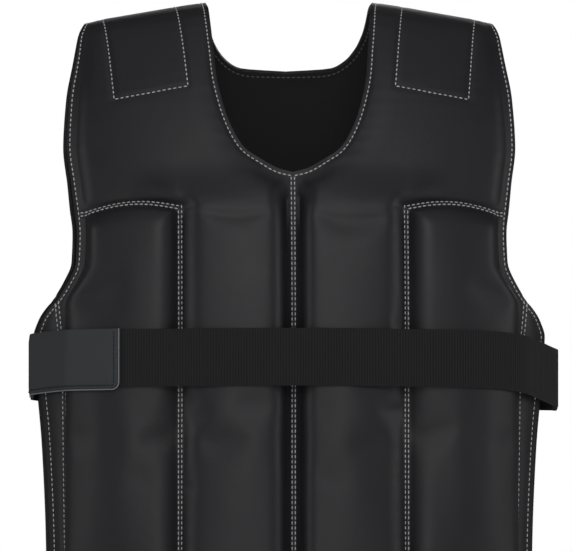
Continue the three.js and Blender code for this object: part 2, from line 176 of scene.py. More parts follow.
def table_curve(rows):
    """Function on cubic curves through a table's rows, which never overshoot them."""
    keys = np.array([row[0] for row in rows], float)
    values = np.array([row[1] for row in rows], float)
    slope = np.diff(values) / np.diff(keys)
    tangent = np.zeros(len(rows))
    tangent[0], tangent[-1] = slope[0], slope[-1]
    product, total = slope[:-1] * slope[1:], slope[:-1] + slope[1:]
    tangent[1:-1] = np.where(product > 0, 2 * product / np.where(total == 0, 1, total), 0)

    def at(value):
        value = np.clip(np.asarray(value, float), keys[0], keys[-1])
        row = np.clip(np.searchsorted(keys, value, side="right") - 1, 0, len(rows) - 2)
        step = keys[row + 1] - keys[row]
        t = (value - keys[row]) / step
        t2, t3 = t * t, t * t * t
        return (
            (2 * t3 - 3 * t2 + 1) * values[row] + (t3 - 2 * t2 + t) * step * tangent[row]
            + (3 * t2 - 2 * t3) * values[row + 1] + (t3 - t2) * step * tangent[row + 1]
        )
    return at


armhole_share = table_curve(ARMHOLE)
side_share = table_curve(SIDE)
neck_share = {side: table_curve(rows) for side, rows in NECKLINE.items()}
belt_sag = table_curve(BELT_SAG)


def neck_half_width(side, drop):
    share = np.asarray(drop, float) / NECK_DEPTH[side]
    corner = CREST_CORNER * (1 - np.clip(share * NECK_DEPTH[side] / NECK_CORNER_DROP, 0, 1)) ** 2
    return np.where(share >= 1, 0, NECK_HALF_WIDTH * (neck_share[side](share) + corner))


def edge_half_width(drop):
    drop = np.asarray(drop, float)
    corner = CREST_CORNER * (1 - np.clip(drop / ARM_CORNER_DROP, 0, 1)) ** 2
    arm = armhole_share(drop / ARMHOLE_DEPTH) - corner
    skirt = side_share((drop - ARMHOLE_DEPTH) / SKIRT_LENGTH)
    return CHEST_HALF_WIDTH * np.where(drop <= ARMHOLE_DEPTH, arm, skirt)


def band_half_width(drop):
    return np.minimum(2 * CHANNEL_WIDTH, edge_half_width(drop) - EDGE_BAND)


# A walk is how far a point lies from the shoulder crest along the cloth.
# It is negative where the front's cloth has crossed the crest to the back.
CREST_RADIUS = SHOULDER_POWER / 2 * BODY_HALF_DEPTH ** 2 / SHOULDER_RISE
CREST_HALF_WIDTH = CHEST_HALF_WIDTH * armhole_share(0)


def drop_of_walk(walk):
    walk = np.abs(walk)
    return walk ** 2 / (walk + 2 * CREST_RADIUS)


def walk_of_drop(drop):
    drop = np.asarray(drop, float)
    return (drop + np.sqrt(drop ** 2 + 8 * drop * CREST_RADIUS)) / 2


def unit(vectors, least=0.0):
    """Vectors of length 1. The least added to their lengths allows for one of length 0."""
    return vectors / (np.linalg.norm(vectors, axis=-1, keepdims=True) + least)


def body_point(side, x, walk):
    """Point of the body's surface, in millimetres."""
    drop = drop_of_walk(walk)
    half = CHEST_HALF_WIDTH * side_share((drop - ARMHOLE_DEPTH) / SKIRT_LENGTH) + BODY_SPARE_WIDTH
    plan = (1 - np.minimum(np.abs(x) / half, 0.995) ** BODY_SQUARENESS) ** (1 / BODY_SQUARENESS)
    depth = BODY_HALF_DEPTH * np.sqrt(1 - (1 - np.clip(drop / SHOULDER_RISE, 0, 1)) ** SHOULDER_POWER)
    across = np.clip((np.abs(x) - NECK_HALF_WIDTH) / (CREST_HALF_WIDTH - NECK_HALF_WIDTH), 0, 1)
    fall = SHOULDER_SLOPE * across * (1 - smooth(drop / YOKE_DROP))
    return np.stack([x + 0 * drop, side * np.sign(walk) * depth * plan, -drop - fall], axis=-1)


def body_normal(side, x, walk):
    step = 0.5
    across = body_point(side, x + step, walk) - body_point(side, x - step, walk)
    down = body_point(side, x, walk + step) - body_point(side, x, walk - step)
    return unit(np.cross(across, down) * (1 if side == BACK else -1))


def pillow(distance, rounding=PAD_ROUNDING, flat=0.0):
    """Rise of the padding at a distance from the seam or edge that holds it down."""
    return np.sin(np.pi / 2 * np.clip((distance - flat) / (rounding - flat), 0, 1)) ** 0.8


def polyline_distance(x, y, line):
    """Distance of points from a line through the given corners, in the same plane."""
    nearest = np.full(np.shape(x), np.inf)
    for (ax, ay), (bx, by) in zip(line[:-1], line[1:]):
        dx, dy = bx - ax, by - ay
        t = np.clip(((x - ax) * dx + (y - ay) * dy) / max(dx * dx + dy * dy, 1e-9), 0, 1)
        nearest = np.minimum(nearest, np.hypot(x - ax - t * dx, y - ay - t * dy))
    return nearest


def lengths_along(points):
    """How far along a line each of its points lies."""
    return np.concatenate([[0], np.cumsum(np.linalg.norm(np.diff(points, axis=0), axis=1))])


def neckline_points(side, steps=40):
    """Corners of one half of a neckline, as half-width and drop."""
    shares = 1 - (1 - np.linspace(0, 1, steps)) ** 1.8
    drops = shares * NECK_DEPTH[side]
    return list(zip(neck_half_width(side, drops), drops))


def yoke_drop(x):
    band = band_half_width(YOKE_DROP)
    share = np.clip((np.abs(x) - CHANNEL_WIDTH) / (band - CHANNEL_WIDTH), 0, 1)
    return YOKE_DROP + YOKE_FALL * share - YOKE_ARCH * np.sin(np.pi * share)


def thickness_on(side, x, drop):
    """Thickness at a drop, from the distances to the middle, the seams, the neck and the edges."""
    off = np.abs(x)
    below = drop - yoke_drop(x)
    outward = off - CHANNEL_WIDTH
    to_seam = np.where(below >= 0, np.abs(outward), np.hypot(outward, below))
    to_yoke = np.where(outward >= 0, np.abs(below), np.hypot(outward, below))
    to_neck = polyline_distance(off, drop, neckline_points(side))
    near_neck = drop < NECK_DEPTH[side] + PAD_ROUNDING
    inner = np.minimum(np.where(near_neck, to_neck, off), np.where(drop > NECK_DEPTH[side], off, np.inf))
    past_neck = drop - NECK_DEPTH[side]
    flat = mix(CENTRE_FLAT, UNDER_NECK_FLAT, 1 - faded(past_neck, *CENTRE_FADE))
    flat = mix(NECK_FLAT, flat, faded(past_neck, *UNDER_NECK_FADE))
    middle = np.where(x < 0, CENTRE_ROUNDING[RIGHT], CENTRE_ROUNDING[LEFT])
    middle = mix(PAD_ROUNDING, middle, faded(past_neck, *CENTRE_ROUNDING_FADE))
    outer = pillow(band_half_width(drop) - off, BAND_ROUNDING)
    edges = pillow(inner, middle, flat) * outer * pillow(HEM_DROP - drop)
    stitched = mix(SEAM_FLOOR, 1, pillow(np.minimum(to_seam, to_yoke), SEAM_ROUNDING, SEAM_FLAT))
    above = np.clip(-below / SEAM_SOFTENING, 0, 1)
    filled = smooth((drop - NECK_DEPTH[FRONT] + FILL_START) / FILL_FADING)
    fading = smooth(-below / YOKE_FADING) * smooth(off / CHANNEL_WIDTH)
    fill = filled * (1 - fading) * (1 - smooth(outward / YOKE_FADING))
    held = mix(stitched, 1, above * YOKE_LOOSENESS)
    chest_pad = CHEST_PAD * mix(SHOULDER_PAD, 1, smooth(drop / SHOULDER_PAD_DROP))
    chest = EDGE_THICKNESS + mix(chest_pad, CHANNEL_FILL, fill) * edges * held
    pocket = EDGE_THICKNESS + CHANNEL_FILL * edges * stitched
    return np.where((outward >= 0) & (below >= 0), pocket, chest)


def thickness(side, x, walk):
    """Thickness of the padded panel, from the body outwards."""
    drop = drop_of_walk(walk)
    return np.where(walk < 0, thickness_on(-side, x, drop), thickness_on(side, x, drop))


def lifted(side, x, walk, lift):
    """Points in metres at a lift off the body."""
    points = body_point(side, x, walk) + body_normal(side, x, walk) * np.asarray(lift)[..., None]
    return points * MM


# Camera, in metres: nearly without perspective, a little to the vest's right, framed as the photograph
PIXEL = 0.91 * MM
CAMERA_TURN = math.radians(-2.2)
CAMERA_DISTANCE = 15.0
FRAME_WIDTH = 572 * PIXEL
AIM = Vector((-0.0023, 0, -0.2448))


def add_object(name, data):
    obj = bpy.data.objects.new(name, data)
    bpy.context.scene.collection.objects.link(obj)
    return obj


def make_camera():
    data = bpy.data.cameras.new("camera")
    data.sensor_fit = "HORIZONTAL"
    data.sensor_width = 36
    data.lens = data.sensor_width * CAMERA_DISTANCE / FRAME_WIDTH
    camera = add_object("camera", data)
    back = Vector((math.sin(CAMERA_TURN), -math.cos(CAMERA_TURN), 0))
    camera.location = AIM + back * CAMERA_DISTANCE
    camera.rotation_euler = (math.pi / 2, 0, CAMERA_TURN)
    bpy.context.scene.camera = camera


make_camera()


# Materials

def linear(hex_colour):
    """Linear RGBA of an sRGB colour such as 2d2d2f."""
    parts = [int(hex_colour[at:at + 2], 16) / 255 for at in (0, 2, 4)]
    return [c / 12.92 if c <= 0.04045 else ((c + 0.055) / 1.055) ** 2.4 for c in parts] + [1]


def set_inputs(tree, node, inputs):
    """Gives a node's inputs values or links them to other nodes' outputs."""
    for name, value in inputs.items():
        if isinstance(value, bpy.types.NodeSocket):
            tree.links.new(value, node.inputs[name])
        else:
            node.inputs[name].default_value = value


def add_node(tree, kind, settings=None, inputs=None):
    node = tree.nodes.new("ShaderNode" + kind)
    for name, value in (settings or {}).items():
        setattr(node, name, value)
    set_inputs(tree, node, inputs or {})
    return node


def new_material(name):
    material = bpy.data.materials.new(name)
    material.use_nodes = True
    tree = material.node_tree
    shader = tree.nodes["Principled BSDF"]
    return material, tree, shader


def two_tone(tree, factor, low, high):
    """Colour between two hex colours by a factor socket."""
    inputs = {0: factor, 6: linear(low), 7: linear(high)}
    return add_node(tree, "Mix", {"data_type": "RGBA"}, inputs).outputs[2]


# From the first to the second distance from the outline, the painted shade along the edge goes over into the
# leather's colour
EDGE_SHADE_REACH = (0.9, 1.9)


def leather_material(name, low, high, roughness, grain_mm, grain_depth, painted_edge_shade=False):
    """Polyurethane leather, embossed with a fine pebble grain: satin, with broad soft highlights.

    A dark edge is painted shade: the colour goes to near black along the outline. It reads the piece's
    distance from there.
    """
    material, tree, shader = new_material(name)
    place = add_node(tree, "TexCoord").outputs["Object"]
    cells = {"Vector": place, "Scale": 1 / (grain_mm * MM), "Randomness": 0.9}
    pebble = add_node(tree, "TexVoronoi", {"feature": "SMOOTH_F1"}, cells)
    soft = add_node(tree, "TexNoise", None, {"Vector": place, "Scale": 28, "Detail": 4})
    crease = add_node(tree, "TexNoise", None, {"Vector": place, "Scale": 160, "Detail": 3})
    colour = two_tone(tree, soft.outputs["Fac"], low, high)
    # Painted shade: near black at the outline, going over into the leather's colour further in
    if painted_edge_shade:
        distance = add_node(tree, "Attribute", {"attribute_name": "edge"}).outputs["Fac"]
        reach = {"Value": distance, "From Min": EDGE_SHADE_REACH[0], "From Max": EDGE_SHADE_REACH[1]}
        edge_shade_fade = add_node(tree, "MapRange", None, reach)
        inputs = {0: edge_shade_fade.outputs["Result"], 6: linear("0a0a0b"), 7: colour}
        colour = add_node(tree, "Mix", {"data_type": "RGBA"}, inputs).outputs[2]
    rough = add_node(tree, "MapRange", None, {
        "Value": soft.outputs["Fac"], "To Min": roughness - 0.06, "To Max": roughness + 0.06,
    })
    fine = add_node(tree, "Bump", None, {
        "Height": pebble.outputs["Distance"], "Strength": 0.35, "Distance": grain_depth * MM,
    })
    broad = add_node(tree, "Bump", None, {
        "Height": crease.outputs["Fac"], "Strength": 0.25, "Distance": 0.5 * MM,
        "Normal": fine.outputs["Normal"],
    })
    set_inputs(tree, shader, {
        "Base Color": colour, "Roughness": rough.outputs["Result"], "Normal": broad.outputs["Normal"],
        "IOR": 1.5,
    })
    return material


def cloth_material(name, low, high, thread_mm, roughness, sheen, ribbed=False):
    """Matt polyester cloth drawn along its own map: a fine square weave, or ribs that run one way."""
    material, tree, shader = new_material(name)
    place = add_node(tree, "UVMap", {"uv_map": "cloth"}).outputs["UV"]
    waves = []
    for direction in ("X", "Y"):
        waves.append(add_node(
            tree, "TexWave", {"bands_direction": direction, "wave_profile": "SIN"},
            {
                "Vector": place, "Scale": 1 / (thread_mm * 20 * MM),
                "Phase Offset": math.pi / 2 if ribbed else 0,
            },
        ).outputs["Fac"])
    crossed = {0: waves[0], 1: 1.0 if ribbed else waves[1]}
    weave = add_node(tree, "Math", {"operation": "MULTIPLY"}, crossed)
    colour = two_tone(tree, weave.outputs["Value"], low, high)
    bump = add_node(tree, "Bump", None, {
        "Height": weave.outputs["Value"], "Strength": 0.5, "Distance": 0.3 * MM,
    })
    set_inputs(tree, shader, {
        "Base Color": colour, "Normal": bump.outputs["Normal"], "Roughness": roughness, "Sheen Weight": sheen,
    })
    return material


def thread_material(name, low, high):
    """Bonded polyester sewing thread: matt, faintly lustrous, with a twist too fine to draw."""
    material, tree, shader = new_material(name)
    place = add_node(tree, "TexCoord").outputs["Object"]
    noise = add_node(tree, "TexNoise", None, {"Vector": place, "Scale": 900, "Detail": 2})
    colour = two_tone(tree, noise.outputs["Fac"], low, high)
    set_inputs(tree, shader, {"Base Color": colour, "Roughness": 0.6})
    return material


# Its outline is darkened as painted shade
BLACK_LEATHER = leather_material(
    "polyurethane leather, black embossed", "1b1a1e", "201f24",
    roughness=0.52, grain_mm=1.1, grain_depth=0.12, painted_edge_shade=True,
)
GREY_LEATHER = leather_material(
    "polyurethane leather, grey smooth", "36383a", "3c3e40", roughness=0.7, grain_mm=0.9, grain_depth=0.05,
)
LINING_CLOTH = cloth_material(
    "polyester lining, woven", "0d0d0f", "151517", thread_mm=0.1, roughness=0.85, sheen=0.1,
)
ELASTIC = cloth_material(
    "ribbed elastic webbing, polyester and rubber", "0b0a0c", "201e21",
    thread_mm=RIB_PITCH / (2 * math.pi), roughness=0.85, sheen=0.05, ribbed=True,
)
THREAD = thread_material("bonded polyester thread, light grey", "bcbcbe", "dededf")
# The light thread again, darkened as painted shade for the stitches inside the neck
SHADED_THREAD = thread_material("bonded polyester thread, light grey in painted shade", "5a5a5c", "68686a")
DARK_THREAD = thread_material("bonded polyester thread, black", "161617", "222224")
PIPING = thread_material("piping cord, light grey", "77777a", "8e8e91")


# Modelling helpers

def set_mode(mode):
    bpy.ops.object.mode_set(mode=mode)


def only(obj):
    """Deselects all, then selects one object and makes it the active one."""
    if bpy.context.object and bpy.context.object.mode != "OBJECT":
        set_mode("OBJECT")
    bpy.ops.object.select_all(action="DESELECT")
    obj.select_set(True)
    bpy.context.view_layer.objects.active = obj


def new_grid(name, columns, rows):
    """Flat grid whose points know their column and row, which are kept as attributes."""
    bpy.ops.mesh.primitive_grid_add(x_subdivisions=columns, y_subdivisions=rows, size=1, location=(0, 0, 0))
    obj = bpy.context.object
    obj.name = name
    obj.data.name = name
    points = get_points(obj)
    set_attribute(obj, "column", np.rint((points[:, 0] + 0.5) * columns).astype(int))
    set_attribute(obj, "row", np.rint((0.5 - points[:, 1]) * rows).astype(int))
    return obj


def mesh_points(mesh):
    points = np.empty(len(mesh.vertices) * 3)
    mesh.vertices.foreach_get("co", points)
    return points.reshape(-1, 3)


def get_points(obj):
    return mesh_points(obj.data)


def set_points(obj, points):
    obj.data.vertices.foreach_set("co", np.asarray(points, float).ravel())
    obj.data.update()


def set_attribute(obj, name, values, kind="INT"):
    attribute = obj.data.attributes.get(name) or obj.data.attributes.new(name, kind, "POINT")
    attribute.data.foreach_set("value", values)


def get_attribute(obj, name, kind=int):
    values = np.empty(len(obj.data.vertices), dtype=kind)
    obj.data.attributes[name].data.foreach_get("value", values)
    return values


def grid_places(obj):
    """Column and row of each point, and 1 where it is on the inner side."""
    return (get_attribute(obj, key) for key in ("column", "row", "inside"))


def delete_faces(obj, doomed):
    """Deletes the faces whose column and row a test picks."""
    only(obj)
    set_mode("EDIT")
    bpy.context.tool_settings.mesh_select_mode = (False, False, True)
    bpy.ops.mesh.select_all(action="DESELECT")
    set_mode("OBJECT")
    columns, rows = get_attribute(obj, "column"), get_attribute(obj, "row")
    for face in obj.data.polygons:
        corners = list(face.vertices)
        face.select = doomed(columns[corners].min(), rows[corners].min())
    set_mode("EDIT")
    bpy.ops.mesh.delete(type="FACE")
    set_mode("OBJECT")


def give_back(obj):
    """Extrudes the sheet to a closed body with an edge wall, and marks the new side's points as inside."""
    only(obj)
    set_attribute(obj, "inside", np.zeros(len(obj.data.vertices), int))
    set_mode("EDIT")
    bpy.context.tool_settings.mesh_select_mode = (True, False, False)
    bpy.ops.mesh.select_all(action="SELECT")
    bpy.ops.mesh.extrude_region()
    set_mode("OBJECT")
    set_attribute(obj, "inside", np.array([vertex.select for vertex in obj.data.vertices], int))


def face_outwards(obj):
    only(obj)
    set_mode("EDIT")
    bpy.ops.mesh.select_all(action="SELECT")
    bpy.ops.mesh.normals_make_consistent(inside=False)
    set_mode("OBJECT")


def add_modifier(obj, kind, **settings):
    """Adds a modifier and applies it."""
    only(obj)
    modifier = obj.modifiers.new(kind.lower(), kind)
    for name, value in settings.items():
        setattr(modifier, name, value)
    bpy.ops.object.modifier_apply(modifier=modifier.name)


def set_map(obj, along, across):
    """Cloth map from two point attributes, in metres."""
    data = obj.data
    layer = data.uv_layers.get("cloth") or data.uv_layers.new(name="cloth")
    corners = np.empty(len(data.loops), int)
    data.loops.foreach_get("vertex_index", corners)
    layer.data.foreach_set("uv", np.stack([along[corners], across[corners]], axis=1).ravel())


def finish(obj, material, node_names=()):
    """Smooth shading, material and body of a finished piece, whose imported parts are hidden."""
    only(obj)
    bpy.ops.object.shade_smooth()
    obj.data.materials.clear()
    obj.data.materials.append(material)
    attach(obj, "root")
    if node_names:
        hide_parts(*node_names)


# Rows and columns of a half panel. Cells are small where the form turns quickly.
def spaced(start, end, size):
    """Places after the start, up to the end and at most a size apart."""
    steps = max(1, math.ceil(abs(end - start) / size))
    return [mix(start, end, step / steps) for step in range(1, steps + 1)]


def panel_rows(side):
    """Walks of a panel's rows. Each stop is a drop, and how far apart the rows down to it lie."""
    neck = NECK_DEPTH[side]
    stops = [(0.78 * neck, 6), (neck, 2.5)]
    if side == BACK:
        stops.append((NECK_DEPTH[FRONT], 6))
    stops += [
        (YOKE_DROP - SEAM_SOFTENING, 5), (YOKE_DROP, 3), (YOKE_DROP + SEAM_SOFTENING, 3),
        (ARMHOLE_DEPTH, 6), (HEM_DROP - 20, 6.5), (HEM_DROP, 2.8),
    ]
    walks = [-SHOULDER_SEAM_BEHIND] if side == FRONT else [SHOULDER_SEAM_BEHIND]
    if side == FRONT:
        walks += spaced(-SHOULDER_SEAM_BEHIND, 0, 6)
    for drop, size in stops:
        walks += spaced(walks[-1], walk_of_drop(drop), size)
    return np.array(walks)


def channel_shares(cells):
    """Columns' places across a channel, closer together towards its seams."""
    even = np.linspace(0, 1, cells + 1)
    return mix(even, 0.5 - 0.5 * np.cos(np.pi * even), 0.6)


INNER_SHARES = channel_shares(18)
OUTER_SHARES = channel_shares(18)
FLANGE_SHARES = np.linspace(0, 1, 5)
SEAM_COLUMN = len(INNER_SHARES) - 1
BAND_COLUMN = SEAM_COLUMN + len(OUTER_SHARES) - 1
LAST_COLUMN = BAND_COLUMN + len(FLANGE_SHARES) - 1


def column_offset(side, column, drop):
    """Half-width of each column in the row at a drop."""
    inner = neck_half_width(side, drop)
    band = band_half_width(drop)
    seam = mix(CHANNEL_WIDTH, (inner + band) / 2, smooth((YOKE_DROP - drop) / YOKE_DROP))
    first = mix(inner, seam, INNER_SHARES[np.clip(column, 0, SEAM_COLUMN)])
    second = mix(seam, band, OUTER_SHARES[np.clip(column - SEAM_COLUMN, 0, len(OUTER_SHARES) - 1)])
    flange_column = np.clip(column - BAND_COLUMN, 0, len(FLANGE_SHARES) - 1)
    third = mix(band, edge_half_width(drop), FLANGE_SHARES[flange_column])
    return np.where(column <= SEAM_COLUMN, first, np.where(column <= BAND_COLUMN, second, third))


def offset_at(side, column, walk):
    """Half-width of each column at a walk, on the other side where the cloth has crossed the crest."""
    drop = drop_of_walk(walk)
    return np.where(walk < 0, column_offset(-side, column, drop), column_offset(side, column, drop))


def find_yoke_row(walks):
    return int(np.argmin(np.abs(walks - walk_of_drop(YOKE_DROP))))


def panel_places(side, hand, walks, column, row, pocket):
    """Distance across and walk of grid points, with the seams' gaps opened."""
    walk = walks[row]
    drop = drop_of_walk(walk)
    offset = offset_at(side, column, walk)
    yoke_row = find_yoke_row(walks)
    half = SEAM_CLEARANCE / 2 * (1 if pocket else -1)
    offset = offset + np.where((column == SEAM_COLUMN) & (row >= yoke_row), half, 0)
    offset = offset + np.where(column == 0, SEAM_CLEARANCE / 2, 0)
    arch = yoke_drop(offset) - YOKE_DROP
    near = 1 - np.clip(np.abs(drop - YOKE_DROP) / (2 * SEAM_SOFTENING), 0, 1)
    sunk = drop + arch * smooth(near) + np.where((row == yoke_row) & (column >= SEAM_COLUMN), half, 0)
    walk = np.where(walk < 0, walk, walk_of_drop(sunk))
    return hand * offset, walk


# Stitch lines, on which the padding's grooves lie too
STITCH_LENGTH = 3.3
STITCH_WIDTH = 1.25
STITCH_HEIGHT = 0.9
STITCH_LIFT = 0.15
STITCH_PITCH = 4.6
TAB_STITCH_PITCH = 3.6
# Half of a double row's spacing
DOUBLE_ROW = 1.5
# How far in from an edge its line lies. The outer edge's moves further in below the arm.
EDGE_STITCH = 3.2
SKIRT_STITCH = 5.0
SKIRT_STITCH_FADING = 30
NECK_STITCH = 3.8
HEM_STITCH = 8
TAB_STITCH = 2.6
# Side flange's double row: start as a share of the armhole's depth, then drop and place off the channel
FLANGE_ROW_START = 0.88
FLANGE_ROW = [(262, 9), (294, 6), (330, 2), (HEM_DROP, -1.5)]
# Shoulder's stitched rectangle: half-widths at the seam, then lower corners as half-width and walk
SHOULDER_BOX_TOP = (105, 171)
SHOULDER_BOX_CORNERS = [(93, 120), (158.5, 126)]


def shifted(line, distance):
    """A line in the plane of the cloth, moved sideways."""
    line = np.asarray(line, float)
    along = unit(np.gradient(line, axis=0), TINY)
    return line + np.stack([-along[:, 1], along[:, 0]], axis=1) * distance


def straight(start, end, steps=60):
    t = np.linspace(0, 1, steps)[:, None]
    return np.asarray(start) * (1 - t) + np.asarray(end) * t


def neckline_walks(side):
    """Corners of one half of a neckline, as half-width and walk."""
    corners = np.array(neckline_points(side))
    return np.stack([corners[:, 0], walk_of_drop(corners[:, 1])], axis=1)


def half_lines(side):
    """Stitch lines of one half of a panel, each as points of half-width and walk."""
    top = -SHOULDER_SEAM_BEHIND if side == FRONT else SHOULDER_SEAM_BEHIND
    hem = walk_of_drop(HEM_DROP)
    walks = np.linspace(top, hem, 160)
    drops = drop_of_walk(walks)
    edge = np.stack([edge_half_width(drops), walks], axis=1)
    neck = neckline_walks(side)
    if side == FRONT:
        over = np.linspace(top, 0, 6, endpoint=False)
        neck = np.concatenate([np.stack([neck_half_width(BACK, drop_of_walk(over)), over], axis=1), neck])
    else:
        neck = neck[neck[:, 1] > top]
    neck_line = shifted(neck, -NECK_STITCH)
    neck_line = neck_line[neck_line[:, 0] > 0.5]
    inset = mix(EDGE_STITCH, SKIRT_STITCH, faded(drops, ARMHOLE_DEPTH, SKIRT_STITCH_FADING))
    lines = [shifted(edge, inset[:, None]), neck_line]
    start = walk_of_drop(NECK_DEPTH[side]) + NECK_STITCH
    foot = hem - HEM_STITCH
    lines.append(straight((DOUBLE_ROW, start), (DOUBLE_ROW, foot)))
    flange_start = walk_of_drop(ARMHOLE_DEPTH * FLANGE_ROW_START)
    flange_drops, flange_insets = zip(*FLANGE_ROW)
    for row in (-DOUBLE_ROW, DOUBLE_ROW):
        band = band_half_width(YOKE_DROP) + EDGE_BAND - EDGE_STITCH - DOUBLE_ROW
        across = np.linspace(band, CHANNEL_WIDTH + row, 40)
        yoke = np.stack([across, walk_of_drop(yoke_drop(across)) + row], axis=1)
        down = straight(yoke[-1], (CHANNEL_WIDTH + row, foot), 120)[1:]
        lines.append(np.concatenate([yoke, down]))
        outer = np.linspace(flange_start, foot, 90)
        slant = np.interp(drop_of_walk(outer), flange_drops, flange_insets)
        lines.append(np.stack([2 * CHANNEL_WIDTH + slant + row, outer], axis=1))
    box = [(SHOULDER_BOX_TOP[0], top), *SHOULDER_BOX_CORNERS, (SHOULDER_BOX_TOP[1], top)]
    for start_corner, end_corner in zip(box[:-1], box[1:]):
        lines.append(straight(start_corner, end_corner, 40))
    lines.append(straight((0, foot), (edge_half_width(HEM_DROP) - HEM_STITCH, foot), 90))
    return lines


def groove_distance(side, x, walk):
    """Distance along the cloth from the nearest line of stitches."""
    nearest = np.full(len(x), np.inf)
    for line in half_lines(side):
        corners = line[:: max(1, len(line) // 30)]
        corners = np.concatenate([corners, line[-1:]])
        nearest = np.minimum(nearest, polyline_distance(np.abs(x), walk, corners))
    return nearest


def lay_grid(obj, side, x, walk, row, lift):
    """Lays a grid on the body, open at the shoulder seam, and keeps where its points lie in the cloth."""
    points = lifted(side, x, walk, lift)
    if side == BACK:
        points[row == 0, 1] += SEAM_GAP * MM
    set_points(obj, points)
    set_attribute(obj, "x", x, "FLOAT")
    set_attribute(obj, "walk", walk, "FLOAT")


def make_panel(side, hand, pocket, name):
    """One padded leather piece, not yet filled: a grid, given a back and laid on the body."""
    walks = panel_rows(side)
    yoke_row = find_yoke_row(walks)
    obj = new_grid(name, LAST_COLUMN, len(walks) - 1)
    delete_faces(obj, lambda column, row: bool(column >= SEAM_COLUMN and row >= yoke_row) != pocket)
    give_back(obj)
    column, row, inside = grid_places(obj)
    x, walk = panel_places(side, hand, walks, column, row, pocket)
    lay_grid(obj, side, x, walk, row, np.where(inside == 1, 0, thickness(side, x, walk)))
    face_outwards(obj)
    seam = (column == 0) | ((column == SEAM_COLUMN) & (row >= yoke_row)) | (
        (row == yoke_row) & (column >= SEAM_COLUMN))
    soften_edges(obj, seam)
    hold_for_filling(obj, inside, column, walk)
    return obj


# A sharp edge's rounding, and the share of it that a seam's edges get
SHARP_ANGLE = math.radians(50)
EDGE_ROUNDING = 1.1
SEAM_EDGE_SHARE = 0.05


def soften_edges(obj, seam):
    """Marks how much each sharp edge is rounded: little at the seams, fully at the outer edges."""
    mesh = bmesh.new()
    mesh.from_mesh(obj.data)
    layers = mesh.edges.layers.float
    weight = layers.get("bevel_weight_edge") or layers.new("bevel_weight_edge")
    for edge in mesh.edges:
        if len(edge.link_faces) == 2 and edge.calc_face_angle() > SHARP_ANGLE:
            edge[weight] = SEAM_EDGE_SHARE if all(seam[vertex.index] for vertex in edge.verts) else 1.0
    mesh.to_mesh(obj.data)
    mesh.free()


# Filling: the leather is blown up like a cushion while its seams, edges and back are held
FILL_FRAMES = 20
FILL_REACH = 5.0
FILL_CLOTH = {
    "quality": 6, "mass": 0.3, "vertex_group_mass": "held",
    "tension_stiffness": 30, "compression_stiffness": 30, "shear_stiffness": 15, "bending_stiffness": 20,
    "use_pressure": True, "uniform_pressure_force": 4.0, "shrink_min": -0.004,
}
# The shoulder and upper chest are held, and let go from a walk on
SHOULDER_HOLD = 0.98
SHOULDER_HOLD_FADE = (205, 75)


def hold_for_filling(obj, inside, column, walk):
    border = np.zeros(len(inside), bool)
    for edge in obj.data.edges:
        first, second = edge.vertices
        if inside[first] != inside[second]:
            border[[first, second]] = True
    held = np.where((inside == 1) | border | (column >= BAND_COLUMN), 1.0, 0.0)
    held = np.maximum(held, SHOULDER_HOLD * (1 - faded(walk, *SHOULDER_HOLD_FADE)))
    group = obj.vertex_groups.new(name="held")
    for index, value in enumerate(held):
        if value > 0.001:
            group.add([index], float(value), "REPLACE")


def fill_panels(pieces):
    """Cloth simulation of all pieces at once, capped and then made part of their meshes."""
    for piece in pieces:
        cloth = piece.modifiers.new("filling", "CLOTH")
        for name, value in FILL_CLOTH.items():
            setattr(cloth.settings, name, value)
        cloth.settings.effector_weights.gravity = 0
        cloth.collision_settings.use_collision = False
        cloth.point_cache.frame_start = 1
        cloth.point_cache.frame_end = FILL_FRAMES
    scene = bpy.context.scene
    for step in range(1, FILL_FRAMES + 1):
        scene.frame_set(step)
    graph = bpy.context.evaluated_depsgraph_get()
    for piece in pieces:
        start = get_points(piece)
        filled = piece.evaluated_get(graph)
        move = mesh_points(filled.to_mesh()) - start
        filled.to_mesh_clear()
        length = np.linalg.norm(move, axis=1, keepdims=True)
        move *= np.minimum(1, FILL_REACH * MM / np.maximum(length, 1e-9))
        piece.modifiers.remove(piece.modifiers["filling"])
        set_points(piece, start + move)
    scene.frame_set(1)


# Grooves along the stitches, shallower over the shoulder
GROOVE_DEPTH = 0.9
GROOVE_WIDTH = 2.2
SHOULDER_GROOVE = 0.4
SHOULDER_GROOVE_FADE = (15, 60)
# Puckers start beside the groove, fade out over the reach and keep off the edge
PUCKER_DEPTH = 0.2
PUCKER_LENGTH = 15.0
PUCKER_START = 5
PUCKER_REACH = 9
PUCKER_EDGE_FADE = (7, 8)


def finish_panel(obj, side, node):
    add_modifier(obj, "BEVEL", width=EDGE_ROUNDING * MM, segments=2, limit_method="WEIGHT")
    add_modifier(obj, "SUBSURF", levels=1, render_levels=1)
    x, walk = get_attribute(obj, "x", float), get_attribute(obj, "walk", float)
    inside = get_attribute(obj, "inside")
    distance = groove_distance(side, x, walk)
    depth = GROOVE_DEPTH * mix(SHOULDER_GROOVE, 1, faded(walk, *SHOULDER_GROOVE_FADE))
    groove = -depth * np.exp(-(distance / GROOVE_WIDTH) ** 2)
    # Two slow waves make the puckers uneven
    unevenness = 1.7 * np.sin(walk / 31 + x / 47) + 0.9 * np.sin(walk / 13)
    wave = np.sin(2 * np.pi * walk / PUCKER_LENGTH + unevenness)
    from_edge = edge_half_width(drop_of_walk(walk)) - np.abs(x)
    away = np.exp(-np.clip(distance - 2, 0, None) / PUCKER_REACH) * smooth(distance / PUCKER_START)
    pucker = PUCKER_DEPTH * wave * (away * faded(from_edge, *PUCKER_EDGE_FADE))
    lift = np.where(inside == 0, groove + pucker, 0)
    set_points(obj, get_points(obj) + body_normal(side, x, walk) * lift[:, None] * MM)
    to_neck = polyline_distance(np.abs(x), np.abs(walk), neckline_walks(side))
    # Distance from the outline, which the painted edge shade reads
    set_attribute(obj, "edge", np.minimum(from_edge, to_neck), "FLOAT")
    finish(obj, BLACK_LEATHER, [node])


